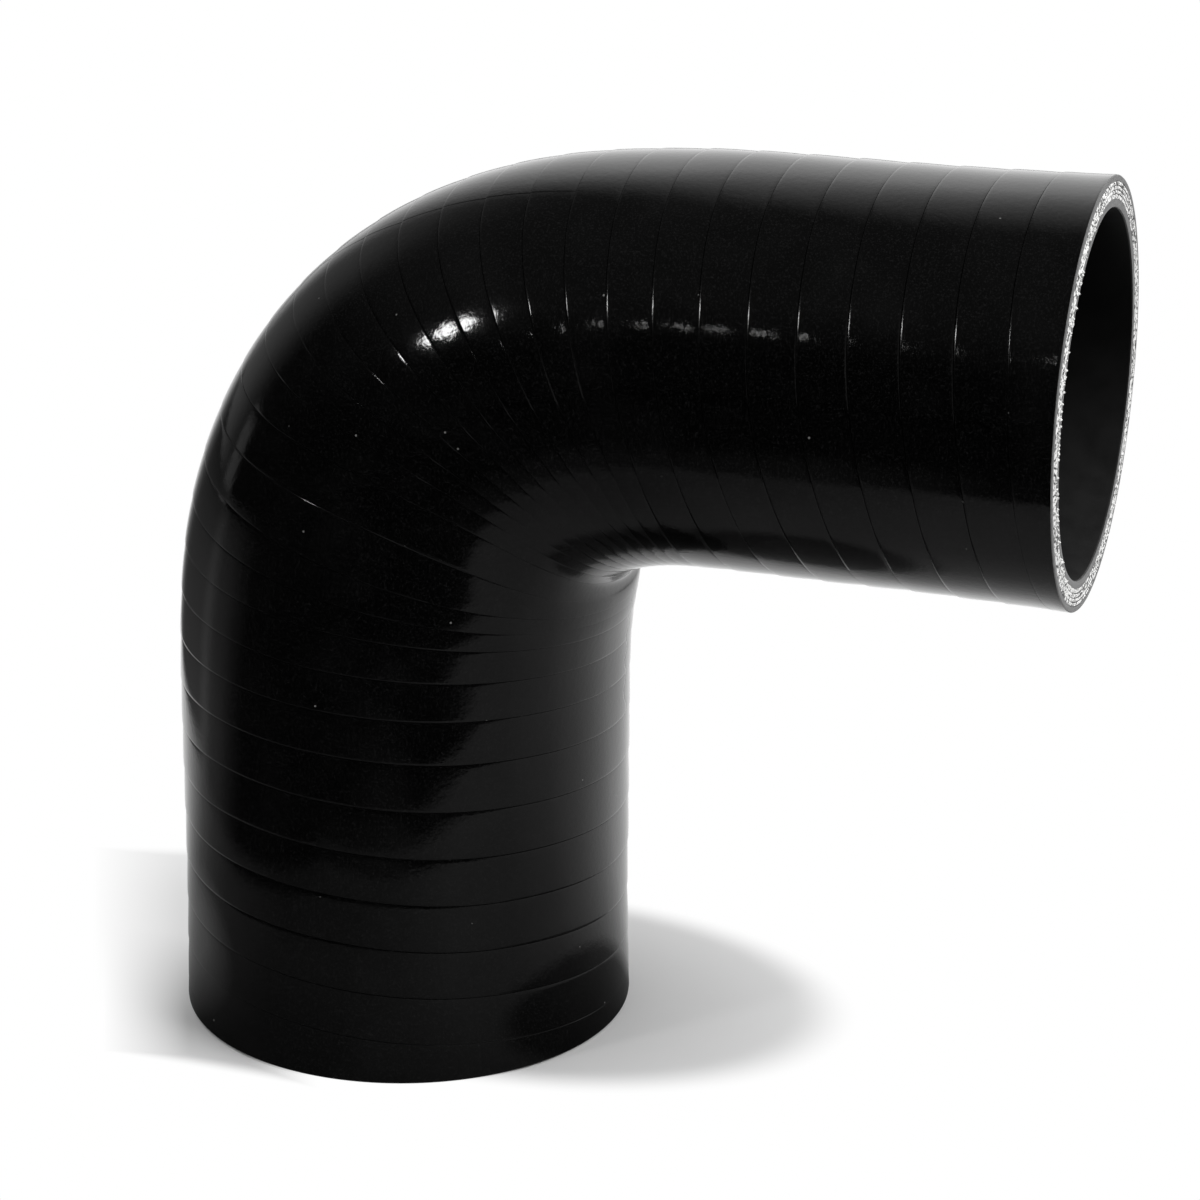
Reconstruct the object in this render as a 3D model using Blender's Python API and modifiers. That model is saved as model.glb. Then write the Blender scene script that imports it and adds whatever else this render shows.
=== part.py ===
"""A 90 degree silicone elbow hose that steps down from a 76 mm bore to a 64 mm one, stood on its large end.

The real one is wound from tape over a bent mandrel and cured. The sleeve here is wound straight,
laid along the bend, trimmed square at both ends and bored by the mandrel. Metres, +Z up, small end
facing +X.
"""

import math

import bmesh
import bpy
import numpy as np

# Bores and wall
LARGE_BORE = 0.0755
SMALL_BORE = 0.0645
WALL = 0.0049
END_SWELL = 0.00075  # extra thickness at the two trimmed ends
SWELL_LENGTH = 0.030  # how far back from an end it has died away

# Bend: each reach runs from the end's face to the other leg's axis
LARGE_REACH = 0.1330
SMALL_REACH = 0.1293
THROAT_RADIUS = 0.0034  # inside corner of the bend, on the outer skin
BEND_EASE = 0.79  # share of the plain arc over which the curve builds up, and again dies away
TAPER_FROM = 0.22  # where the taper starts and ends, as shares of the eased bend
TAPER_TO = 0.87

# Wrapping tape, which leaves a step in the skin at each turn
TAPE_PITCH = 0.0090  # along the outside of the bend
THROAT_PITCH = 0.0019  # along the inside, where the turns crowd together
INSIDE_PITCH_LARGE = 0.0094  # along the inside of each leg
INSIDE_PITCH_SMALL = 0.0081
THROAT_FROM = 0.26  # where the turns crowd together, as shares of the eased bend
THROAT_TO = 0.905
TURNS_PAST_THROAT = 8.5  # on the small leg's inside, to the last step
LAST_TURN = 0.0093  # from the small end's face to the last step, on the outside of the bend
TAPE_STEP = 0.0003
STEP_FADE = 0.014  # the steps die away over this length at each end

# Fineness of the mesh
SKIN_SIDES = 48
BORE_SIDES = 36
BORE_ROWS = 19
TURN_PROFILE = ((0.0, 0.0), (0.07, 1.0), (0.53, 0.5), (1.0, 0.0))  # share of the pitch, share of the step

for old in list(bpy.data.objects):
    bpy.data.objects.remove(old, do_unlink=True)


def ease(t):
    t = np.clip(t, 0.0, 1.0)
    return t * t * (3.0 - 2.0 * t)


# The centreline is straight, then bends with a curvature that builds up, holds and dies away.
bend_radius = (LARGE_BORE + SMALL_BORE) / 4 + WALL + THROAT_RADIUS + TAPE_STEP
arc_length = bend_radius * math.pi / 2
ease_length = arc_length * BEND_EASE
bend_length = arc_length + ease_length

along = np.linspace(0.0, bend_length, 4001)
curvature = np.clip(along / ease_length, 0, 1) - np.clip((along - arc_length) / ease_length, 0, 1)
curvature /= bend_radius


def running_total(values):
    return np.concatenate([[0.0], np.cumsum((values[1:] + values[:-1]) / 2) * along[1]])


turned = running_total(curvature)
turned *= math.pi / 2 / turned[-1]
bend_x = running_total(np.sin(turned))
bend_z = running_total(np.cos(turned))

large_straight = LARGE_REACH - bend_z[-1]
small_straight = SMALL_REACH - bend_x[-1]
hose_length = large_straight + bend_length + small_straight


def centreline(s):
    """x, z and the angle turned from upright at distance s from the large end's face."""
    inside = np.clip(s - large_straight, 0.0, bend_length)
    before = np.minimum(s - large_straight, 0.0)
    after = np.maximum(s - large_straight - bend_length, 0.0)
    x = np.interp(inside, along, bend_x) + after
    z = np.interp(inside, along, bend_z) + before + large_straight
    return x, z, np.interp(inside, along, turned)


def bend_share(s):
    return (s - large_straight) / bend_length


def bore_radius(s):
    share = ease((bend_share(s) - TAPER_FROM) / (TAPER_TO - TAPER_FROM))
    return (LARGE_BORE + (SMALL_BORE - LARGE_BORE) * share) / 2


def skin_radius(s):
    from_end = np.clip(np.minimum(s, hose_length - s), 0.0, None)
    swell = END_SWELL * np.clip(1 - from_end / SWELL_LENGTH, 0.0, 1.0) ** 2
    return bore_radius(s) + WALL + swell


def step_height(s, angle):
    """The step fades towards the trimmed ends, and in the throat where the turns crowd together."""
    from_end = np.minimum(s, hose_length - s)
    bending = np.interp(s - large_straight, along, curvature)
    crowding = 1 + bending * skin_radius(s) * np.cos(angle)
    return TAPE_STEP * ease(from_end / STEP_FADE) * np.clip(2.5 * crowding, 0.25, 1.0)


# Turns of tape from the last step on the outside, counted along the outside and along the inside of the bend
spare = 4 * TAPE_PITCH
places = np.arange(-spare, hose_length + spare, 0.0001)
bending = np.interp(places - large_straight, along, curvature, left=0.0, right=0.0)


def path_along(side):
    """Distance along the skin on the outside (1) or the inside (-1) of the bend."""
    stretch = np.maximum(1 + side * bending * skin_radius(places), 0.02)
    return np.concatenate([[0.0], np.cumsum((stretch[1:] + stretch[:-1]) / 2) * 0.0001])


outside_path, inside_path = path_along(1), path_along(-1)
outside_turns = (outside_path - np.interp(hose_length - LAST_TURN, places, outside_path)) / TAPE_PITCH
throat_from, throat_to = large_straight + THROAT_FROM * bend_length, large_straight + THROAT_TO * bend_length
from_throat = inside_path - np.interp(throat_to, places, inside_path)
before_throat = np.interp(throat_from, places, from_throat) / THROAT_PITCH
inside_turns = from_throat.clip(before_throat * THROAT_PITCH, 0.0) / THROAT_PITCH - TURNS_PAST_THROAT
inside_turns += np.minimum(places - throat_from, 0.0) / INSIDE_PITCH_LARGE
inside_turns += np.maximum(places - throat_to, 0.0) / INSIDE_PITCH_SMALL


def tape_place(turn, angle):
    """Distance along the hose of a turn of tape: evenly wound on the outside, crowded in the throat."""
    outside = np.interp(turn, outside_turns, places)
    inside = np.interp(turn, inside_turns, places)
    return outside + (inside - outside) * ((1 - np.cos(angle)) / 2) ** 1.5


def link(made, collection):
    collection.objects.link(made)
    return made


def evaluated_mesh(made):
    """The object's mesh as its modifiers leave it. The object itself is removed."""
    bpy.context.view_layer.update()
    graph = bpy.context.evaluated_depsgraph_get()
    mesh = bpy.data.meshes.new_from_object(made.evaluated_get(graph))
    bpy.data.objects.remove(made, do_unlink=True)
    return mesh


def straight_winding():
    """Tape wound left-handed on a drum of radius 1: z is distance, and radius less 1 is share of the step."""
    profile = bpy.data.meshes.new("tape profile")
    points = [(1 + height, 0.0, share * TAPE_PITCH) for share, height in TURN_PROFILE]
    profile.from_pydata(points, [(i, i + 1) for i in range(len(points) - 1)], [])
    drum = link(bpy.data.objects.new("winding", profile), bpy.context.scene.collection)
    turns = math.ceil(outside_path[-1] / TAPE_PITCH) - 4
    screw = drum.modifiers.new("turns", "SCREW")
    screw.steps = screw.render_steps = SKIN_SIDES
    screw.screw_offset = -TAPE_PITCH
    screw.iterations = turns
    weld = drum.modifiers.new("turn to turn", "WELD")
    weld.merge_threshold = 0.0001
    return evaluated_mesh(drum)


def wrapped_sleeve():
    """The winding laid along the bend, trimmed at both faces and closed there."""
    mesh = straight_winding()
    count = len(mesh.vertices)
    drum = np.empty(count * 3)
    mesh.vertices.foreach_get("co", drum)
    x, y, z = drum.reshape(-1, 3).T
    angle = np.mod(np.arctan2(y, x), 2 * math.pi)
    angle[angle > 2 * math.pi - 1e-4] = 0.0
    s = tape_place((z - z.max()) / TAPE_PITCH + 3, angle)
    radius = skin_radius(s) + (np.hypot(x, y) - 1) * step_height(s, angle)
    middle_x, middle_z, tilt = centreline(s)
    outward = radius * np.cos(angle)
    laid = [middle_x - outward * np.cos(tilt), -radius * np.sin(angle), middle_z + outward * np.sin(tilt)]
    mesh.vertices.foreach_set("co", np.stack(laid, axis=-1).ravel())

    builder = bmesh.new()
    builder.from_mesh(mesh)
    bmesh.ops.triangulate(builder, faces=builder.faces)
    for face_at, outwards in (((0, 0, 0), (0, 0, -1)), ((SMALL_REACH, 0, 0), (1, 0, 0))):
        everything = list(builder.verts) + list(builder.edges) + list(builder.faces)
        bmesh.ops.bisect_plane(
            builder, geom=everything, dist=1e-7, plane_co=face_at, plane_no=outwards, clear_outer=True
        )
    rims = [edge for edge in builder.edges if edge.is_boundary]
    bmesh.ops.edgeloop_fill(builder, edges=rims)
    bmesh.ops.recalc_face_normals(builder, faces=builder.faces)
    builder.to_mesh(mesh)
    builder.free()
    mesh.name = "wrapped sleeve"
    mesh.shade_smooth()
    mesh.set_sharp_from_angle(angle=math.radians(50))
    return mesh


def mandrel():
    """The bore's shape as a tapering curve, run on past both faces, then made a mesh."""
    over = WALL
    bend_rows = large_straight + np.linspace(0.0, 1.0, BORE_ROWS) * bend_length
    rows = np.concatenate([[-over], bend_rows, [hose_length + over]])
    x, z, _ = centreline(rows)
    curve = bpy.data.curves.new("mandrel", "CURVE")
    curve.dimensions = "3D"
    curve.bevel_depth = 1.0
    curve.bevel_resolution = (BORE_SIDES - 4) // 2
    curve.use_fill_caps = True
    path = curve.splines.new("POLY")
    path.points.add(len(rows) - 1)
    for point, px, pz, radius in zip(path.points, x, z, bore_radius(rows)):
        point.co = (px, 0.0, pz, 1.0)
        point.radius = radius
    mesh = evaluated_mesh(link(bpy.data.objects.new("mandrel", curve), bpy.context.scene.collection))
    builder = bmesh.new()
    builder.from_mesh(mesh)
    bmesh.ops.remove_doubles(builder, verts=builder.verts, dist=1e-5)
    bmesh.ops.recalc_face_normals(builder, faces=builder.faces)
    builder.to_mesh(mesh)
    builder.free()
    mesh.name = "bore mandrel"
    mesh.shade_smooth()
    mesh.set_sharp_from_angle(angle=math.radians(50))
    return mesh


part = bpy.data.collections.new("silicone elbow hose")
tools = bpy.data.collections.new("cutting tools")
for collection in (part, tools):
    bpy.context.scene.collection.children.link(collection)
tools.hide_render = True

hose = link(bpy.data.objects.new("elbow_hose", wrapped_sleeve()), part)
bore = link(bpy.data.objects.new("bore_mandrel", mandrel()), tools)
bore.hide_render = True
bore.display_type = "WIRE"

cut = hose.modifiers.new("bore", "BOOLEAN")
cut.operation = "DIFFERENCE"
cut.solver = "EXACT"
cut.object = bore

rubber = bpy.data.materials.new("black silicone rubber")
rubber.use_nodes = True
surface = rubber.node_tree.nodes["Principled BSDF"]
surface.inputs["Base Color"].default_value = (0.012, 0.012, 0.013, 1.0)
surface.inputs["Roughness"].default_value = 0.28
hose.data.materials.append(rubber)

# The origin is the middle of the footprint's box, on the floor.
across = [vertex.co.x for vertex in hose.data.vertices]
for made in (hose, bore):
    made.location.x = -(min(across) + max(across)) / 2
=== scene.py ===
"""A black silicone elbow hose, 76 mm bore down to 64 mm, stood on its large end in a white studio."""

import math

import bmesh
import bpy
import numpy as np
from mathutils import Matrix, Vector, noise


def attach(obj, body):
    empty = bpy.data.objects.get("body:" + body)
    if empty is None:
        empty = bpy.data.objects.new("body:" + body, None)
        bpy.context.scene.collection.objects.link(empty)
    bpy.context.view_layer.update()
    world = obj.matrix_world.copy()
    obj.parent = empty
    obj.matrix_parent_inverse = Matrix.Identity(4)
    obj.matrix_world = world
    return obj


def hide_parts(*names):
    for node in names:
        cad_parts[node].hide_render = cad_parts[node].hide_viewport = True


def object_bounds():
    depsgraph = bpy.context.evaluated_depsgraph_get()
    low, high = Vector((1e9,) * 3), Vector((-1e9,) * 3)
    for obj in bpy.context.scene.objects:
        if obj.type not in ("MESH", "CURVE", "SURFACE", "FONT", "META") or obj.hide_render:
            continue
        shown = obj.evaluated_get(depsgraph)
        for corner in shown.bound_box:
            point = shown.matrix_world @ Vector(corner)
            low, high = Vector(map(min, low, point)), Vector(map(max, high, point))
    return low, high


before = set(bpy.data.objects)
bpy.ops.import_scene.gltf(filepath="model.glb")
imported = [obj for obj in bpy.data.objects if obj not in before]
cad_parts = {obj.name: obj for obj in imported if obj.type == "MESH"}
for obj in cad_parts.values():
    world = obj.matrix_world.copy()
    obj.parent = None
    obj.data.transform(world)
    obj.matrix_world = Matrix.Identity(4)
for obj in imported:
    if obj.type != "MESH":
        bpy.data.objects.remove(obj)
cad_low, cad_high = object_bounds()


# Wrapped skin: the outside of the hose, black silicone rubber on fabric-backed tape.
# The tape is wound left-handed over a bent steel mandrel that steps down in size, cured under
# a tight wrap and trimmed square at both ends, so each turn leaves a low rounded step.
LARGE_BORE = 0.0755
SMALL_BORE = 0.0645
WALL = 0.0049
END_SWELL = 0.00075  # extra thickness at the two trimmed ends
SWELL_LENGTH = 0.030  # how far back from an end it has died away
LARGE_REACH = 0.1330  # from each end's face to the other leg's axis
SMALL_REACH = 0.1293
THROAT_RADIUS = 0.0034  # inside corner of the bend, on the outer skin
BEND_EASE = 0.79  # share of the plain arc over which the curve builds up, and again dies away
TAPER_FROM, TAPER_TO = 0.22, 0.87  # where the taper starts and ends, as shares of the eased bend

TAPE_PITCH = 0.0090  # along the outside of the bend
THROAT_PITCH = 0.0019  # along the inside, where the turns crowd together
INSIDE_PITCH_LARGE = 0.0094  # along the inside of each leg
INSIDE_PITCH_SMALL = 0.0081
THROAT_FROM, THROAT_TO = 0.26, 0.905  # where the turns crowd, as shares of the eased bend
CROWDING_POWER = 1.5  # how late the crowding sets in from the outside of the bend round to the inside
TURNS_PAST_THROAT = 8.5  # on the small leg's inside, to the last step
LAST_TURN = 0.0093  # from the small end's face to the last step, on the outside of the bend
SPARE_TURNS = 4  # wound past each end
TURNS_TRIMMED_OFF = 3  # past the last step at the small end
LEAST_STRETCH = 0.02  # the inside of the bend never closes up to less than this share

CAD_STEP = 0.0003  # the step in the solid, which the bend's radius allows for
TAPE_STEP = 0.00021
STEP_FADE = 0.014  # the steps die away over this length at each end
BEND_FLATTENING = 0.45  # share of the step that is pressed flat where the bend is tightest
CROWDED_STEP = (1.6, -0.15, 0.07)  # slope, offset and least share of the step, by how crowded the turns are
# One turn of tape, from the groove at its edge up over the crest and down to the next: share of
# the pitch and share of the step
TAPE_PROFILE = (
    (0.0, -0.70), (0.007, -0.10), (0.011, 0.84), (0.019, 1.00), (0.060, 1.03), (0.20, 1.00),
    (0.42, 0.86), (0.60, 0.67), (0.77, 0.43), (0.91, 0.17), (0.982, -0.01), (0.990, -0.08), (1.0, -0.70),
)
SCUFFED_AT, SCUFFED_HALF = 0.010, 0.012  # the dulled edge of a turn, as shares of the pitch

# Handwork: how much it varies, the size of its patches in metres, and where its pattern starts
STEP_VARIES = (0.30, 0.022, 3.0)  # share of the step
TURN_WANDERS = (0.06, 0.030, 11.0)  # turns
SKIN_WAVES = (0.00012, 0.016, 29.0)  # metres
WAVES_FADE = 0.012  # the waves die away over this length at each end
ABOUT_RADIUS = 0.038  # of the hose, for the size of the patches round it

# The crease over the bend: degrees round from the outside, at distances along the hose
CREASE_ALONG = (0.112, 0.122, 0.132, 0.142, 0.158)
CREASE_AROUND = (5.0, 13.0, 20.0, 22.5, 26.0)
# The pleat down the throat: degrees round, and its waver in radians and in metres along the hose
PLEAT_AROUND, PLEAT_WAVER, PLEAT_WAVE = 186.0, 0.030, 0.0075

WRAP_SIDES = 200
PLACE_STEP = 0.0001  # between the places where the winding is worked out
TRIM_BACK = 0.00055  # the skin stops this far short of a cut face, and the rounded arris follows


def ease(t):
    t = np.clip(t, 0.0, 1.0)
    return t * t * (3.0 - 2.0 * t)


# The centreline is straight, then bends with a curvature that builds up, holds and dies away.
bend_radius = (LARGE_BORE + SMALL_BORE) / 4 + WALL + THROAT_RADIUS + CAD_STEP
arc_length = bend_radius * math.pi / 2
ease_length = arc_length * BEND_EASE
bend_length = arc_length + ease_length
along_bend = np.linspace(0.0, bend_length, 4001)
curvature = np.clip(along_bend / ease_length, 0, 1) - np.clip((along_bend - arc_length) / ease_length, 0, 1)
curvature /= bend_radius


def running_total(values):
    return np.concatenate([[0.0], np.cumsum((values[1:] + values[:-1]) / 2) * along_bend[1]])


turned = running_total(curvature)
turned *= math.pi / 2 / turned[-1]
bend_x, bend_z = running_total(np.sin(turned)), running_total(np.cos(turned))
large_straight = LARGE_REACH - bend_z[-1]
small_straight = SMALL_REACH - bend_x[-1]
hose_length = large_straight + bend_length + small_straight
large_axis_x = cad_high.x - SMALL_REACH  # the large leg's axis in the row frame
small_axis_z = LARGE_REACH


def centreline(s):
    """x, z and the angle turned from upright at distance s from the large end's face."""
    inside = np.clip(s - large_straight, 0.0, bend_length)
    before = np.minimum(s - large_straight, 0.0)
    after = np.maximum(s - large_straight - bend_length, 0.0)
    x = np.interp(inside, along_bend, bend_x) + after + large_axis_x
    z = np.interp(inside, along_bend, bend_z) + before + large_straight
    return x, z, np.interp(inside, along_bend, turned)


def on_hose(s, angle, radius):
    """Points in the row frame. The angle runs from the outside of the bend round by the front."""
    middle_x, middle_z, tilt = centreline(s)
    outward = radius * np.cos(angle)
    x = middle_x - outward * np.cos(tilt)
    z = middle_z + outward * np.sin(tilt)
    return np.stack([x, -radius * np.sin(angle), z], axis=-1)


def bend_share(s):
    return (s - large_straight) / bend_length


def bore_radius(s):
    share = ease((bend_share(s) - TAPER_FROM) / (TAPER_TO - TAPER_FROM))
    return (LARGE_BORE + (SMALL_BORE - LARGE_BORE) * share) / 2


def skin_radius(s):
    from_end = np.clip(np.minimum(s, hose_length - s), 0.0, None)
    return bore_radius(s) + WALL + END_SWELL * np.clip(1 - from_end / SWELL_LENGTH, 0.0, 1.0) ** 2


# Turns of tape from the last step on the outside, counted along the outside and along the inside
# of the bend
spare = SPARE_TURNS * TAPE_PITCH
places = np.arange(-spare, hose_length + spare, PLACE_STEP)
bending = np.interp(places - large_straight, along_bend, curvature, left=0.0, right=0.0)


def path_along(side):
    """Distance along the skin on the outside (1) or the inside (-1) of the bend."""
    stretch = np.maximum(1 + side * bending * skin_radius(places), LEAST_STRETCH)
    return np.concatenate([[0.0], np.cumsum((stretch[1:] + stretch[:-1]) / 2) * PLACE_STEP])


outside_path, inside_path = path_along(1), path_along(-1)
last_step = np.interp(hose_length - LAST_TURN, places, outside_path)
outside_turns = (outside_path - last_step) / TAPE_PITCH
throat_from = large_straight + THROAT_FROM * bend_length
throat_to = large_straight + THROAT_TO * bend_length
from_throat = inside_path - np.interp(throat_to, places, inside_path)
throat_start = np.interp(throat_from, places, from_throat)
inside_turns = from_throat.clip(throat_start, 0.0) / THROAT_PITCH - TURNS_PAST_THROAT
inside_turns += np.minimum(places - throat_from, 0.0) / INSIDE_PITCH_LARGE
inside_turns += np.maximum(places - throat_to, 0.0) / INSIDE_PITCH_SMALL


def tape_place(turn, angle):
    """Distance along the hose of a turn of tape: evenly wound on the outside, crowded in the throat."""
    outside = np.interp(turn, outside_turns, places)
    inside = np.interp(turn, inside_turns, places)
    return outside + (inside - outside) * ((1 - np.cos(angle)) / 2) ** CROWDING_POWER


def uneven(s, angle, size, seed):
    """Slow hand-made unevenness from -1 to 1, without a seam round the hose."""
    across = [np.cos(angle) * ABOUT_RADIUS / size, np.sin(angle) * ABOUT_RADIUS / size]
    points = np.stack([*across, s / size + seed], axis=-1)
    return np.array([noise.noise(p) for p in points])


def step_height(s, angle):
    """The step fades towards the trimmed ends, over the bend, and where turns crowd in the throat."""
    from_end = np.minimum(s, hose_length - s)
    bending = np.interp(s - large_straight, along_bend, curvature)
    crowding = 1 + bending * skin_radius(s) * np.cos(angle)
    varies, patch_size, pattern = STEP_VARIES
    handwork = 1 + varies * uneven(s, angle, patch_size, pattern)
    flattened = 1 - BEND_FLATTENING * bending * bend_radius
    slope, offset, least_share = CROWDED_STEP
    crowded = np.clip(slope * crowding + offset, least_share, 1.0)
    return TAPE_STEP * handwork * flattened * ease(from_end / STEP_FADE) * crowded


def creases(s, angle):
    """Millimetres across to the crease over the bend, across to the throat's pleat, and along the hose."""
    crease = np.radians(np.interp(s, CREASE_ALONG, CREASE_AROUND))
    pleat = np.radians(PLEAT_AROUND) + PLEAT_WAVER * np.sin(s * 2 * math.pi / PLEAT_WAVE)
    return np.stack([(angle - crease) * skin_radius(s), (angle - pleat) * skin_radius(s), s], axis=-1) * 1000


def straight_winding():
    """Tape wound left-handed on a drum of radius 1: z is distance, radius less 1 is share of the step."""
    profile = bpy.data.meshes.new("tape profile")
    points = [(1 + height, 0.0, share * TAPE_PITCH) for share, height in TAPE_PROFILE]
    profile.from_pydata(points, [(i, i + 1) for i in range(len(points) - 1)], [])
    drum = bpy.data.objects.new("winding", profile)
    bpy.context.scene.collection.objects.link(drum)
    screw = drum.modifiers.new("turns", "SCREW")
    screw.steps = screw.render_steps = WRAP_SIDES
    screw.screw_offset = -TAPE_PITCH
    screw.iterations = math.ceil(outside_path[-1] / TAPE_PITCH) - SPARE_TURNS
    weld = drum.modifiers.new("turn to turn", "WELD")
    weld.merge_threshold = 0.00001
    bpy.context.view_layer.update()
    graph = bpy.context.evaluated_depsgraph_get()
    mesh = bpy.data.meshes.new_from_object(drum.evaluated_get(graph))
    bpy.data.objects.remove(drum, do_unlink=True)
    return mesh


def lay_along_bend(mesh):
    """Move the straight winding on to the hose, and note where it is creased and its edges are dulled."""
    drum = np.empty(len(mesh.vertices) * 3)
    mesh.vertices.foreach_get("co", drum)
    x, y, z = drum.reshape(-1, 3).T
    angle = np.mod(np.arctan2(y, x), 2 * math.pi)
    angle[angle > 2 * math.pi - 1e-4] = 0.0
    turn = (z - z.max()) / TAPE_PITCH + TURNS_TRIMMED_OFF
    s = tape_place(turn, angle)
    wander, patch_size, pattern = TURN_WANDERS
    s = tape_place(turn + wander * uneven(s, angle, patch_size, pattern), angle)
    radius = skin_radius(s) + (np.hypot(x, y) - 1) * step_height(s, angle)
    wave, patch_size, pattern = SKIN_WAVES
    near_end = ease(np.minimum(s, hose_length - s) / WAVES_FADE)
    radius = radius + wave * uneven(s, angle, patch_size, pattern) * near_end
    mesh.vertices.foreach_set("co", on_hose(s, angle, radius).ravel())

    pressed = mesh.attributes.new("creases", "FLOAT_VECTOR", "POINT")
    pressed.data.foreach_set("vector", creases(s, angle).astype(np.float32).ravel())
    share = np.mod(z / TAPE_PITCH + angle / (2 * math.pi) + 0.5, 1.0) - 0.5
    at_edge = np.abs(share - SCUFFED_AT) < SCUFFED_HALF
    scuffed = mesh.attributes.new("scuffed_edge", "FLOAT", "POINT")
    scuffed.data.foreach_set("value", at_edge.astype(np.float32))


hose_mesh = straight_winding()
lay_along_bend(hose_mesh)
shaping = bmesh.new()
shaping.from_mesh(hose_mesh)
for at_large_end in (True, False):
    plane_at = (0, 0, TRIM_BACK) if at_large_end else (cad_high.x - TRIM_BACK, 0, 0)
    outwards = (0, 0, -1) if at_large_end else (1, 0, 0)
    everything = list(shaping.verts) + list(shaping.edges) + list(shaping.faces)
    bmesh.ops.bisect_plane(
        shaping, geom=everything, dist=1e-7, plane_co=plane_at, plane_no=outwards, clear_outer=True
    )


def grey(level):
    return (level, level, level, 1)


SKIN_BLACK, SKIN_POWDERED, DUST = grey(0.0003), (0.0075, 0.0075, 0.0076, 1), (0.16, 0.16, 0.155, 1)
SKIN_ROUGHNESS = (0.055, 0.11)
SCUFFED_ROUGHNESS = 0.10  # added at the dulled edges
# Noise scales, in waves a metre
DUST_CELLS, FILM, POWDER, SMEAR, PEEL, FINE = 420.0, 70.0, 2600.0, 160.0, 900.0, 3200.0
# Where the crease and the pleat start and end along the hose, and over how much they fade, in millimetres
CREASE_SPAN, PLEAT_SPAN, CREASE_FADE = (114, 156), (58, 108), 8
CREASE_HALF, CREASE_LIFT = 0.16, 2.2  # half width in millimetres, and height as a share of the bump
PLEAT_HALF, PLEAT_SINK = 0.35, -2.6


def node_adder(tree):
    """A helper that adds a node to the tree, makes its settings, and joins or sets its inputs."""

    def add(kind, inputs=(), **settings):
        node = tree.nodes.new(kind)
        for key, value in settings.items():
            setattr(node, key, value)
        for socket, value in dict(inputs).items():
            if isinstance(value, bpy.types.NodeSocket):
                tree.links.new(value, node.inputs[socket])
            else:
                node.inputs[socket].default_value = value
        return node

    return add


def new_material(name):
    """A node material, its surface, and its node adder."""
    material = bpy.data.materials.new(name)
    material.use_nodes = True
    return material, material.node_tree.nodes["Principled BSDF"], node_adder(material.node_tree)


def join(surface, sockets):
    """Join the sockets to the surface's inputs of these names."""
    for name, socket in sockets.items():
        surface.id_data.links.new(socket, surface.inputs[name])


def maths(add, operation, *values):
    return add("ShaderNodeMath", dict(enumerate(values)), operation=operation).outputs[0]


def blend(add, share, first, second):
    return add("ShaderNodeMix", {0: share, 6: first, 7: second}, data_type="RGBA").outputs[2]


def spread(add, value, low, high, to_low, to_high):
    return add("ShaderNodeMapRange", {0: value, 1: low, 2: high, 3: to_low, 4: to_high}).outputs[0]


def grain(add, scale, detail=3.0, roughness=0.55):
    place = add("ShaderNodeTexCoord").outputs["Object"]
    inputs = {"Vector": place, "Scale": scale, "Detail": detail, "Roughness": roughness}
    return add("ShaderNodeTexNoise", inputs).outputs["Fac"]


def bump(add, height, strength, distance):
    inputs = {"Height": height, "Strength": strength, "Distance": distance}
    return add("ShaderNodeBump", inputs).outputs["Normal"]


def rubber_skin():
    """Glossy black rubber with lone specks of dust, a thin film of powder and dulled tape edges."""
    material, surface, add = new_material("wrapped black silicone")
    surface.inputs["IOR"].default_value = 1.5
    place = add("ShaderNodeTexCoord").outputs["Object"]
    specks = add("ShaderNodeTexVoronoi", {"Vector": place, "Scale": DUST_CELLS}, feature="F1").outputs
    chance = add("ShaderNodeSeparateColor", {"Color": specks["Color"]}).outputs[0]
    dot = spread(add, specks["Distance"], 0.06, 0.10, 1.0, 0.0)
    dust = maths(add, "MULTIPLY", dot, spread(add, chance, 0.955, 0.96, 0.0, 1.0))
    film = spread(add, grain(add, FILM, 5.0), 0.45, 0.75, 0.0, 0.25)
    bloom = spread(add, grain(add, POWDER, 2.0, 0.8), 0.52, 0.72, 0.0, 1.0)
    rubber = blend(add, maths(add, "ADD", film, bloom), SKIN_BLACK, SKIN_POWDERED)

    gloss = spread(add, grain(add, SMEAR, 4.0), 0.3, 0.75, *SKIN_ROUGHNESS)
    scuffed = add("ShaderNodeAttribute", attribute_name="scuffed_edge", attribute_type="GEOMETRY")
    gloss = maths(add, "MULTIPLY_ADD", scuffed.outputs["Fac"], SCUFFED_ROUGHNESS, gloss)

    height = maths(add, "MULTIPLY_ADD", grain(add, FINE, 2.0), 0.35, grain(add, PEEL, 2.0))
    pressed = add("ShaderNodeAttribute", attribute_name="creases", attribute_type="GEOMETRY")
    pressed = add("ShaderNodeSeparateXYZ", {"Vector": pressed.outputs["Vector"]}).outputs
    lapped = spread(add, pressed[0], -CREASE_HALF, CREASE_HALF, CREASE_LIFT, 0.0)
    groove = spread(add, maths(add, "ABSOLUTE", pressed[1]), 0.0, PLEAT_HALF, PLEAT_SINK, 0.0)
    for line, (start, end) in ((lapped, CREASE_SPAN), (groove, PLEAT_SPAN)):
        line = maths(add, "MULTIPLY", line, spread(add, pressed[2], start, start + CREASE_FADE, 0.0, 1.0))
        line = maths(add, "MULTIPLY", line, spread(add, pressed[2], end - CREASE_FADE, end, 1.0, 0.0))
        height = maths(add, "ADD", height, line)
    join(surface, {
        "Base Color": blend(add, dust, rubber, DUST),
        "Roughness": gloss,
        "Normal": bump(add, height, 0.6, 0.00003),
    })
    return material


hose_mesh.materials.append(rubber_skin())


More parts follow.
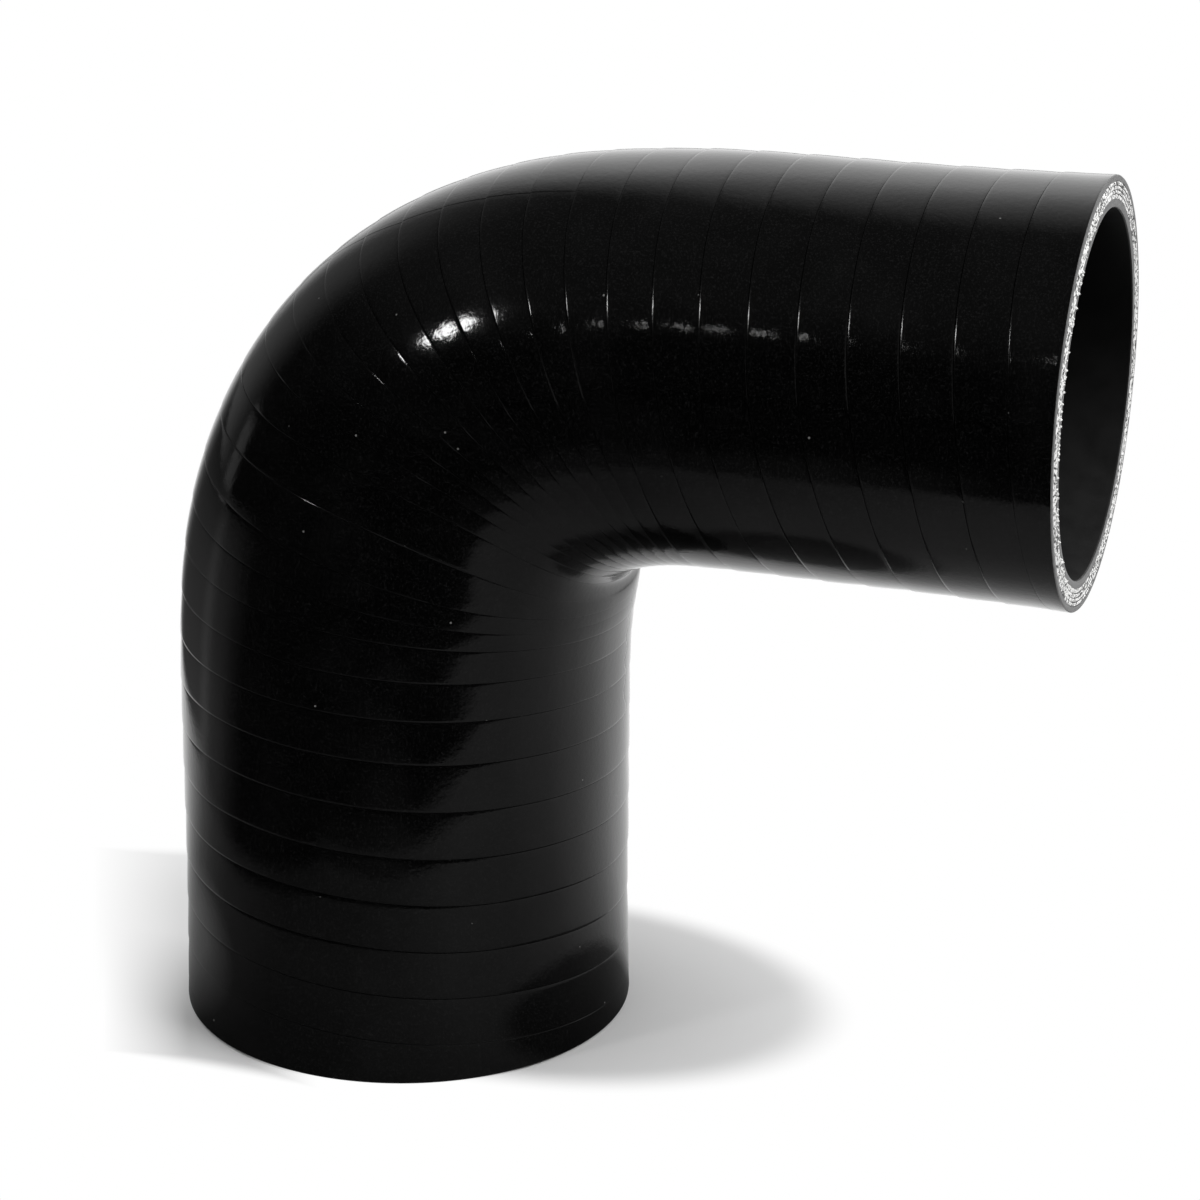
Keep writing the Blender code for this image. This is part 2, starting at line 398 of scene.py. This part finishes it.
# Cut faces: the two square-trimmed ends of the wall, silicone rubber with four fabric plies.
# The blade leaves a small rounded arris, pale cloth ends in each ply, thin dark rubber between
# them, and a thick smooth inner liner.
SKIN, PLY, SEAM, LINER, BORE = range(5)
# Depth from the outer skin as a share of the wall, how far it stands proud, and the finish inside it
CUT_RINGS = (
    (0.012, -0.00022, SKIN), (0.035, -0.00004, LINER), (0.120, 0.0, LINER), (0.195, -0.00001, LINER),
    (0.212, -0.00012, SEAM), (0.224, -0.00001, PLY), (0.270, 0.00006, PLY), (0.318, -0.00001, PLY),
    (0.346, -0.00015, SEAM), (0.358, -0.00001, PLY), (0.404, 0.00006, PLY), (0.452, -0.00001, PLY),
    (0.480, -0.00015, SEAM), (0.492, -0.00001, PLY), (0.538, 0.00006, PLY), (0.586, -0.00001, PLY),
    (0.614, -0.00015, SEAM), (0.626, -0.00001, PLY), (0.674, 0.00006, PLY), (0.730, -0.00001, PLY),
    (0.745, -0.00008, LINER), (0.850, 0.00001, LINER), (0.945, 0.0, LINER), (0.980, -0.00010, LINER),
    (1.0, -0.00035, BORE),
)
RING_WANDERS, RING_PATCHES = 0.012, 0.011  # share of the wall, and metres
RIM_TOLERANCE = 1e-5
THREAD_ENDS, RUBBER_IN_CLOTH = (0.92, 0.92, 0.91, 1), grey(0.06)
CLOTH_ROUGHNESS = (0.55, 0.85)
THREAD_CELLS, THREAD_WARP, THREAD_FUZZ, DRAG_MARKS = 1500.0, 700.0, 3000.0, 900.0  # noise scales, a metre
THREAD_WOBBLE = (0.0005, 0.0005, 0.0005)  # metres


def between(edge, ring):
    return edge.is_boundary and edge.verts[0] in ring and edge.verts[1] in ring


for at_large_end in (True, False):
    face_level = TRIM_BACK if at_large_end else cad_high.x - TRIM_BACK
    level_axis = 2 if at_large_end else 0
    at_face = {v for v in shaping.verts if abs(v.co[level_axis] - face_level) < RIM_TOLERANCE}
    rim = [edge for edge in shaping.edges if between(edge, at_face)]
    end_s = 0.0 if at_large_end else hose_length
    inner, outer = float(bore_radius(end_s)), float(skin_radius(end_s))
    for share, proud, finish in CUT_RINGS:
        made = bmesh.ops.extrude_edge_only(shaping, edges=rim)["geom"]
        ring = [g for g in made if isinstance(g, bmesh.types.BMVert)]
        if at_large_end:
            angle = np.array([math.atan2(-v.co.y, -(v.co.x - large_axis_x)) for v in ring])
        else:
            angle = np.array([math.atan2(-v.co.y, v.co.z - small_axis_z) for v in ring])
        pattern = 50.0 + 7 * at_large_end
        wander = uneven(np.full_like(angle, share * 0.1), angle, RING_PATCHES, pattern)
        middle_share = 4 * share * (1 - share)
        radius = outer + (inner - outer) * (share + RING_WANDERS * middle_share * wander)
        s = end_s + (-proud if at_large_end else proud)
        for vert, point in zip(ring, on_hose(np.full_like(angle, s), angle, radius)):
            vert.co = point
        for face in (g for g in made if isinstance(g, bmesh.types.BMFace)):
            face.material_index = finish
            face.smooth = True
        ring = set(ring)
        rim = [g for g in made if isinstance(g, bmesh.types.BMEdge) and between(g, ring)]
bmesh.ops.recalc_face_normals(shaping, faces=shaping.faces)
shaping.to_mesh(hose_mesh)
shaping.free()


def cut_cloth():
    """Pale cloth ends in rubber: short flecks, more of them in the middle of a ply."""
    material, surface, add = new_material("cut fabric ply")
    surface.inputs["IOR"].default_value = 1.45
    place = add("ShaderNodeTexCoord").outputs["Object"]
    warp = add("ShaderNodeTexNoise", {"Vector": place, "Scale": THREAD_WARP, "Detail": 2.0}).outputs["Color"]
    wobble = add("ShaderNodeVectorMath", {0: warp, 1: THREAD_WOBBLE}, operation="MULTIPLY").outputs[0]
    moved = add("ShaderNodeVectorMath", {0: place, 1: wobble}, operation="ADD").outputs[0]
    threads = add("ShaderNodeTexVoronoi", {"Vector": moved, "Scale": THREAD_CELLS}).outputs["Distance"]
    mixed = maths(add, "MULTIPLY_ADD", grain(add, THREAD_FUZZ, 3.0, 0.7), 0.5, threads)
    pale = spread(add, mixed, 0.98, 0.74, 0.0, 1.0)
    join(surface, {
        "Base Color": blend(add, pale, RUBBER_IN_CLOTH, THREAD_ENDS),
        "Roughness": spread(add, pale, 0, 1, *CLOTH_ROUGHNESS),
        "Normal": bump(add, pale, 0.7, 0.00012),
    })
    return material


def cut_rubber(name, dark, light, roughness):
    """Rubber cut with a blade: fine drag marks and a dull face."""
    material, surface, add = new_material(name)
    surface.inputs["IOR"].default_value = 1.45
    marks = grain(add, DRAG_MARKS, 4.0)
    join(surface, {
        "Base Color": blend(add, spread(add, marks, 0.35, 0.7, 0, 1), dark, light),
        "Roughness": spread(add, marks, 0.3, 0.7, roughness - 0.08, roughness + 0.08),
        "Normal": bump(add, marks, 0.5, 0.00006),
    })
    return material


hose_mesh.materials.append(cut_cloth())
hose_mesh.materials.append(cut_rubber("rubber between plies", grey(0.03), grey(0.09), 0.6))
hose_mesh.materials.append(cut_rubber("cut liner rubber", grey(0.10), grey(0.16), 0.5))


# Bore: the smooth inside, black silicone liner.
# It takes its finish from the polished mandrel, which is drawn out after the cure, so it has
# no steps, only a faint drawn grain. Skin, cut faces and bore are one moulded piece.
BORE_SIDES = 144
BORE_ROWS = 40
BORE_LIP = 0.00035  # where the bore starts, behind each cut face
BORE_SECOND_ROW = 0.002
SHARP_FROM = math.radians(28)  # edges turned by more than this stay sharp
# The last grey is painted light, for the bore wall that faces up
BORE_BLACK, BORE_GREY, PAINTED_LIGHT_GREY = grey(0.0012), grey(0.0030), grey(0.020)
BORE_ROUGHNESS = (0.40, 0.52)
DRAWN_GRAIN, BORE_GRAIN = 240.0, 1400.0  # noise scales, a metre

bore_s = np.concatenate([
    [BORE_LIP, BORE_SECOND_ROW],
    np.linspace(large_straight, large_straight + bend_length, BORE_ROWS),
    [hose_length - BORE_SECOND_ROW, hose_length - BORE_LIP],
])
bore_angles = np.arange(BORE_SIDES) * 2 * math.pi / BORE_SIDES
lining = bmesh.new()
lining.from_mesh(hose_mesh)
rows = []
for s in bore_s:
    row_points = on_hose(np.full(BORE_SIDES, s), bore_angles, bore_radius(s))
    rows.append([lining.verts.new(point) for point in row_points])
for lower, upper in zip(rows, rows[1:]):
    for i in range(BORE_SIDES):
        j = (i + 1) % BORE_SIDES
        face = lining.faces.new((lower[i], upper[i], upper[j], lower[j]))
        face.material_index = BORE
        face.smooth = True
lining.to_mesh(hose_mesh)
lining.free()


def bore_lining():
    """Matt black liner, paler where the bore faces up: painted light, standing in for light that falls on the
    lower wall from above.
    """
    material, surface, add = new_material("smooth silicone bore")
    surface.inputs["IOR"].default_value = 1.36
    drawn = grain(add, DRAWN_GRAIN, 4.0)
    faces = add("ShaderNodeNewGeometry").outputs["Normal"]
    upward = add("ShaderNodeSeparateXYZ", {"Vector": faces}).outputs[2]
    # Painted light: the more the bore wall faces up, the paler it is made, as if lit from above
    facing_up = spread(add, upward, -0.25, 0.75, 0.0, 1.0)
    painted_light_share = maths(add, "MULTIPLY", facing_up, spread(add, drawn, 0.25, 0.6, 0.6, 1.0))
    join(surface, {
        "Base Color": blend(add, painted_light_share, blend(add, drawn, BORE_BLACK, BORE_GREY), PAINTED_LIGHT_GREY),
        "Roughness": spread(add, drawn, 0.3, 0.7, *BORE_ROUGHNESS),
        "Normal": bump(add, grain(add, BORE_GRAIN), 0.3, 0.00003),
    })
    return material


hose_mesh.materials.append(bore_lining())
hose_mesh.name = "elbow hose rubber"
hose_mesh.shade_smooth()
hose_mesh.set_sharp_from_angle(angle=SHARP_FROM)
elbow_hose = bpy.data.objects.new("elbow_hose_rubber", hose_mesh)
bpy.context.scene.collection.objects.link(elbow_hose)
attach(elbow_hose, "root")
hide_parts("elbow_hose")


# Frayed cloth: loose ends of the white polyester plies, moulded into the wall.
# The blade pulls them out a little at the small end: thick tufts of the innermost ply along the
# near side, and thin wisps of all four plies all round.
FRAY_TUFTS, FRAY_WISPS = 75, 150
PLY_DEPTHS = (0.27, 0.40, 0.54, 0.67)  # from the outer skin, as shares of the wall
TUFT_AROUND, TUFT_DEPTH = (38.0, 168.0), (0.65, 0.73)  # degrees from the top, and share of the wall
TUFT_THICK, TUFT_REACH = (0.00015, 0.00030), (1.0, 2.0)  # metres, and times the thickness
WISP_THICK, WISP_REACH = (0.00010, 0.00018), (0.9, 2.2)
WISP_SCATTER = 0.04
FRAY_LEAN = 0.6
FRAY_ROOT = 0.00005  # out from the cut face
KNOB_HEIGHT, KNOB_GRAIN = 0.30, 2.3
THREAD_GREY, THREAD_WHITE = (0.45, 0.45, 0.44, 1), (0.95, 0.95, 0.94, 1)
FUZZ_GRAIN = 6000.0

fray_chance = np.random.default_rng(7)
fray = bmesh.new()
outer, inner = float(skin_radius(hose_length)), float(bore_radius(hose_length))
for strand in range(FRAY_TUFTS + FRAY_WISPS):
    if strand < FRAY_TUFTS:
        angle = math.radians(fray_chance.uniform(*TUFT_AROUND))
        share = fray_chance.uniform(*TUFT_DEPTH)
        thick = fray_chance.uniform(*TUFT_THICK)
        reach = thick * fray_chance.uniform(*TUFT_REACH)
    else:
        angle = math.radians(fray_chance.uniform(0.0, 360.0))
        share = fray_chance.choice(PLY_DEPTHS) + fray_chance.uniform(-WISP_SCATTER, WISP_SCATTER)
        thick = fray_chance.uniform(*WISP_THICK)
        reach = thick * fray_chance.uniform(*WISP_REACH)
    at_depth = outer + (inner - outer) * share
    root = Vector(on_hose(np.array([hose_length + FRAY_ROOT]), np.array([angle]), at_depth)[0])
    lean_y, lean_z = fray_chance.uniform(-FRAY_LEAN, FRAY_LEAN), fray_chance.uniform(-FRAY_LEAN, FRAY_LEAN)
    turn = Vector((1.0, lean_y, lean_z)).normalized().to_track_quat("Z", "Y").to_matrix()
    for vert in bmesh.ops.create_icosphere(fray, subdivisions=1, radius=1.0)["verts"]:
        knob = 1 + KNOB_HEIGHT * noise.noise(vert.co * KNOB_GRAIN + Vector((share * 40, angle * 9, 0)))
        x, y, z = vert.co
        vert.co = root + turn @ Vector((x * thick * knob, y * thick * knob, z * reach))
fray_mesh = bpy.data.meshes.new("frayed cloth ends")
fray.to_mesh(fray_mesh)
fray.free()
fray_mesh.shade_smooth()
frayed_ends = bpy.data.objects.new("elbow_hose_frayed_cloth", fray_mesh)
bpy.context.scene.collection.objects.link(frayed_ends)


def loose_thread():
    """White polyester thread, fuzzy, with a little rubber left on it."""
    material, surface, add = new_material("loose white thread")
    surface.inputs["IOR"].default_value = 1.45
    surface.inputs["Sheen Weight"].default_value = 0.2
    fuzz = grain(add, FUZZ_GRAIN, 2.0, 0.7)
    join(surface, {
        "Base Color": blend(add, spread(add, fuzz, 0.30, 0.55, 0, 1), THREAD_GREY, THREAD_WHITE),
        "Roughness": spread(add, fuzz, 0.3, 0.7, 0.7, 0.95),
        "Normal": bump(add, fuzz, 0.6, 0.00006),
    })
    return material


fray_mesh.materials.append(loose_thread())
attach(frayed_ends, "root")


# Studio floor: plain white paper on a table, lit from the side and from above.
# The camera sees it burnt out to white but for the shadow round the foot. The glossy rubber sees
# painted light and shade on it: dim where the front of the studio was left unlit, with painted patches of
# light and of the hose's shadow near the foot. Places are from the large leg's axis.
FLOOR_HALF = 3
FLOOR_DROP = 0.0002
PAPER_WHITE = 0.87
# Painted light and shade: how bright the rubber sees the paper, by share of a turn: from the front round
# by the left to the back, then by the right to the front again. First on the table near the hose, then
# beyond its edge
TABLE_LEVELS = (
    (0.0, 0.09), (0.09, 0.07), (0.186, 0.13), (0.22, 0.20), (0.25, 0.34), (0.278, 0.60), (0.30, 0.80),
    (0.325, 1.0), (0.5, 1.0), (0.62, 1.0), (0.70, 0.5), (0.75, 0.30), (0.811, 0.215), (0.889, 0.205),
    (0.953, 0.13), (1.0, 0.09),
)
BEYOND_LEVELS = (
    (0.0, 0.01), (0.17, 0.015), (0.192, 0.07), (0.212, 0.15), (0.233, 0.18), (0.252, 0.31), (0.270, 0.17),
    (0.286, 0.15), (0.303, 0.12), (0.330, 0.09), (0.345, 0.10), (0.364, 0.28), (0.389, 1.0), (0.5, 1.0),
    (0.62, 1.0), (0.70, 0.5), (0.75, 0.30), (0.80, 0.06), (0.86, 0.015), (1.0, 0.01),
)
FRONT_EDGE, LEFT_EDGE = (-0.164, -0.146), (-0.190, -0.165)  # where the table ends, from beyond to on it
CORNER_ACROSS, CORNER_EDGE = (0.757, 0.653, 0.0), (-0.140, -0.122)
# Oval patches of painted light and painted shadow that the rubber sees: middle x and y, half width and
# depth, the reach where the patch starts to fade and where it has gone, as shares of those halves, and its
# strength
SPILL_ON_FRONT = (0.035, -0.165, 0.05, 0.08, 0.4, 1.2, 0.35)
BOUNCE_AT_LEFT = (-0.067, -0.008, 0.042, 0.038, 0.3, 1.0, 0.42)
SHADE_AT_RIGHT = (0.059, -0.003, 0.026, 0.034, 0.86, 1.14, 0.66)
# The shadow that the camera sees to the right of the foot is an oval
RIGHT_MIDDLE, RIGHT_HALVES, RIGHT_FADE = (0.022, 0.008, 0), (0.062, 0.041, 1), (0.84, 1.08)
# The one to the left fades leftwards from the foot, and is darker in front of it than behind it.
# It ends along a line in front, a line behind and a line under the foot
LEFTWARD, BACKWARD = (-0.889, -0.457, 0), (-0.344, 0.939, 0)
LEFT_BEHIND, BURNT_BEHIND = (0.044, 0.062), 0.46
LEFT_IN_FRONT, BEHIND_TO_FRONT = (0.044, 0.060), (0.005, -0.030)
LINE_IN_FRONT, LINE_BEHIND, LINE_UNDER_FOOT = (-0.0425, -0.0475), (0.057, 0.068), (0.034, 0.020)

floor_mesh = bpy.data.meshes.new("studio floor")
corners = [(x * FLOOR_HALF, y * FLOOR_HALF, 0) for x, y in ((-1, -1), (1, -1), (1, 1), (-1, 1))]
floor_mesh.from_pydata(corners, [], [(0, 1, 2, 3)])
studio_floor = bpy.data.objects.new("studio_floor", floor_mesh)
bpy.context.scene.collection.objects.link(studio_floor)
studio_floor.location.z = -FLOOR_DROP


def eased(add, value, start, end):
    inputs = {0: value, 1: start, 2: end, 3: 0.0, 4: 1.0}
    return add("ShaderNodeMapRange", inputs, interpolation_type="SMOOTHSTEP").outputs[0]


def paper_floor():
    """White paper, as the camera, the glossy rubber and the lamps' light each see it."""
    material, surface, add = new_material("white floor paper")
    surface.inputs["Roughness"].default_value = 1.0
    surface.inputs["Specular IOR Level"].default_value = 0.0
    surface.inputs["Emission Color"].default_value = (1, 1, 1, 1)
    place = add("ShaderNodeSeparateXYZ", {"Vector": add("ShaderNodeTexCoord").outputs["Object"]}).outputs
    sideways, forward = maths(add, "SUBTRACT", place[0], large_axis_x), place[1]
    turn = spread(add, maths(add, "ARCTAN2", sideways, forward), -math.pi, math.pi, 0.0, 1.0)
    flat = add("ShaderNodeCombineXYZ", {0: sideways, 1: forward}).outputs[0]

    def vectors(operation, first, second=(0, 0, 0)):
        return add("ShaderNodeVectorMath", {0: first, 1: second}, operation=operation).outputs

    def reach_from(middle, halves):
        from_middle = vectors("SUBTRACT", flat, middle)[0]
        return vectors("LENGTH", vectors("DIVIDE", from_middle, halves)[0])["Value"]

    def patch(x, y, half_width, half_depth, inner, outer, strength):
        return spread(add, reach_from((x, y, 0), (half_width, half_depth, 1)), inner, outer, strength, 0.0)

    def levels(stops):
        ramp = add("ShaderNodeValToRGB", {"Fac": turn})
        while len(ramp.color_ramp.elements) < len(stops):
            ramp.color_ramp.elements.new(0.5)
        for element, (at, level) in zip(ramp.color_ramp.elements, stops):
            element.position = at
            element.color = grey(level)
        return ramp.outputs["Color"]

    to_corner = vectors("DOT_PRODUCT", flat, CORNER_ACROSS)["Value"]
    on_table = spread(add, forward, *FRONT_EDGE, 0.0, 1.0)
    on_table = maths(add, "MINIMUM", on_table, spread(add, to_corner, *CORNER_EDGE, 0.0, 1.0))
    on_table = maths(add, "MINIMUM", on_table, spread(add, sideways, *LEFT_EDGE, 0.0, 1.0))
    on_table = maths(add, "MAXIMUM", on_table, patch(*SPILL_ON_FRONT))
    paper = blend(add, on_table, levels(BEYOND_LEVELS), levels(TABLE_LEVELS))
    # Painted light beside the foot on the left, and the hose's painted shadow on the right, as the rubber
    # sees them
    paper = blend(add, patch(*BOUNCE_AT_LEFT), paper, grey(1.0))
    paper = blend(add, patch(*SHADE_AT_RIGHT), paper, grey(0.0))

    leftward = vectors("DOT_PRODUCT", flat, LEFTWARD)["Value"]
    backward = vectors("DOT_PRODUCT", flat, BACKWARD)["Value"]
    in_front = spread(add, forward, *BEHIND_TO_FRONT, 0.0, 1.0)
    behind_level = spread(add, leftward, *LEFT_BEHIND, BURNT_BEHIND, 1.0)
    front_level = spread(add, leftward, *LEFT_IN_FRONT, 0.0, 1.0)
    burnt = add("ShaderNodeMix", {0: in_front, 2: behind_level, 3: front_level}, data_type="FLOAT").outputs[0]
    for value, line in ((forward, LINE_IN_FRONT), (backward, LINE_BEHIND), (leftward, LINE_UNDER_FOOT)):
        burnt = maths(add, "MAXIMUM", burnt, eased(add, value, *line))
    burnt = maths(add, "MINIMUM", burnt, eased(add, reach_from(RIGHT_MIDDLE, RIGHT_HALVES), *RIGHT_FADE))

    ray = add("ShaderNodeLightPath").outputs
    burnt = maths(add, "MULTIPLY", burnt, ray["Is Camera Ray"])
    seen = blend(add, ray["Is Glossy Ray"], grey(PAPER_WHITE), paper)
    join(surface, {"Base Color": blend(add, burnt, seen, grey(0)), "Emission Strength": burnt})
    return material


floor_mesh.materials.append(paper_floor())


# Studio light: a white backdrop behind, a dim wall and a narrow strip light to the left, and
# two small softboxes in front. Two large soft lamps light the floor and stay out of the gloss.

# In degrees: azimuth from straight behind, positive to the right, and elevation. Each pair runs
# from where a light starts to where it is full
BACKDROP_LEFT, BACKDROP_RIGHT, BACKDROP_TOP = (-50, -22), (75, 45), (80, 38)
WALL_SIDE, WALL_TOP = (-88, -60), (60, 20)
OVERHEAD_FROM = (18, 50)
STRIP_AT, STRIP_HALF = -83, (6, 2.5)
STRIP_TOP = (0.18, 0.11)  # height of the direction, from -1 to 1
BACKDROP_LEVEL, WALL_LEVEL, OVERHEAD_LEVEL, STRIP_LEVEL, ROOM_LEVEL = 1.1, 0.17, 0.06, 0.22, 0.012
DIFFUSE_LEVEL = 0.3

studio = bpy.data.worlds.new("white studio")
studio.use_nodes = True
add = node_adder(studio.node_tree)
toward = add("ShaderNodeSeparateXYZ", {"Vector": add("ShaderNodeTexCoord").outputs["Generated"]}).outputs
from_behind = maths(add, "ARCTAN2", toward[0], toward[1])


def by_azimuth(degrees):
    return eased(add, from_behind, *(math.radians(d) for d in degrees))


def by_elevation(degrees):
    return eased(add, toward[2], *(math.sin(math.radians(d)) for d in degrees))


def times(*values):
    product = values[0]
    for value in values[1:]:
        product = maths(add, "MULTIPLY", product, value)
    return product


under_top = spread(add, toward[2], *(math.sin(math.radians(d)) for d in BACKDROP_TOP), 0.0, 1.0)
from_strip = maths(add, "ABSOLUTE", maths(add, "ADD", from_behind, -math.radians(STRIP_AT)))
strip_across = eased(add, from_strip, *(math.radians(d) for d in STRIP_HALF))
gloss_level = ROOM_LEVEL
for part in (
    times(by_azimuth(BACKDROP_LEFT), by_azimuth(BACKDROP_RIGHT), under_top, BACKDROP_LEVEL),
    times(by_azimuth(WALL_SIDE), by_elevation(WALL_TOP), WALL_LEVEL),
    times(by_elevation(OVERHEAD_FROM), OVERHEAD_LEVEL),
    times(strip_across, eased(add, toward[2], *STRIP_TOP), STRIP_LEVEL),
):
    gloss_level = maths(add, "ADD", part, gloss_level)
ray = add("ShaderNodeLightPath").outputs
level = add("ShaderNodeMix", {0: ray["Is Glossy Ray"], 2: DIFFUSE_LEVEL, 3: gloss_level}, data_type="FLOAT")
level = add("ShaderNodeMix", {0: ray["Is Camera Ray"], 2: level.outputs[0], 3: 1.0}, data_type="FLOAT")
background = studio.node_tree.nodes["Background"]
background.inputs["Color"].default_value = (1, 1, 1, 1)
studio.node_tree.links.new(level.outputs[0], background.inputs["Strength"])
bpy.context.scene.world = studio


def softbox(name, azimuth, elevation, distance, width, height, watts, aim=(-0.01, 0.0, 0.10)):
    """A rectangular lamp aimed at the hose. Azimuth 0 is straight in front, positive to the right."""
    lamp = bpy.data.lights.new(name, "AREA")
    lamp.shape = "RECTANGLE"
    lamp.size, lamp.size_y, lamp.energy = width, height, watts
    box = bpy.data.objects.new(name, lamp)
    a, e = math.radians(azimuth), math.radians(elevation)
    away = Vector((math.sin(a) * math.cos(e), -math.cos(a) * math.cos(e), math.sin(e)))
    box.location = Vector(aim) + away * distance
    box.rotation_euler = away.to_track_quat("Z", "Y").to_euler()
    bpy.context.scene.collection.objects.link(box)
    return box


softbox("key_softbox", -39.3, 33.5, 1.5, 0.13, 0.17, 1.9, aim=(-0.022, -0.035, 0.142))
softbox("second_softbox", -17.5, 29.8, 1.5, 0.022, 0.018, 0.034, aim=(0.035, -0.035, 0.146))
side_light = softbox("side_fill", 84, 50, 1.5, 1.0, 1.0, 17.0)
side_light.visible_glossy = False
top_light = softbox("overhead_fill", 180, 76, 1.6, 1.6, 1.6, 9.0)
top_light.visible_glossy = False


# Camera: a long lens about 0.6 m away, from the front right and a little above the hose.
# It is rolled by half a degree, as the photograph is, and has no shift and no depth of field.
EYE = Vector((0.18156, -0.54464, 0.28420))
LOOKS_AT = Vector((-0.00397, 0.0, 0.08463))
ROLL = math.radians(0.546)
SENSOR_WIDTH, FOCAL_LENGTH = 36.0, 98.39  # millimetres

back = (EYE - LOOKS_AT).normalized()
right = Vector((0, 0, 1)).cross(back).normalized()
up = back.cross(right)
level_right = right * math.cos(ROLL) + up * math.sin(ROLL)
level_up = up * math.cos(ROLL) - right * math.sin(ROLL)
lens = bpy.data.cameras.new("product camera")
lens.sensor_width = SENSOR_WIDTH
lens.lens = FOCAL_LENGTH
lens.clip_start = 0.01
camera = bpy.data.objects.new("product_camera", lens)
camera.matrix_world = Matrix(
    [(level_right[i], level_up[i], back[i], EYE[i]) for i in range(3)] + [(0, 0, 0, 1)]
)
bpy.context.scene.collection.objects.link(camera)
bpy.context.scene.camera = camera

bpy.context.scene.view_settings.view_transform = "Standard"
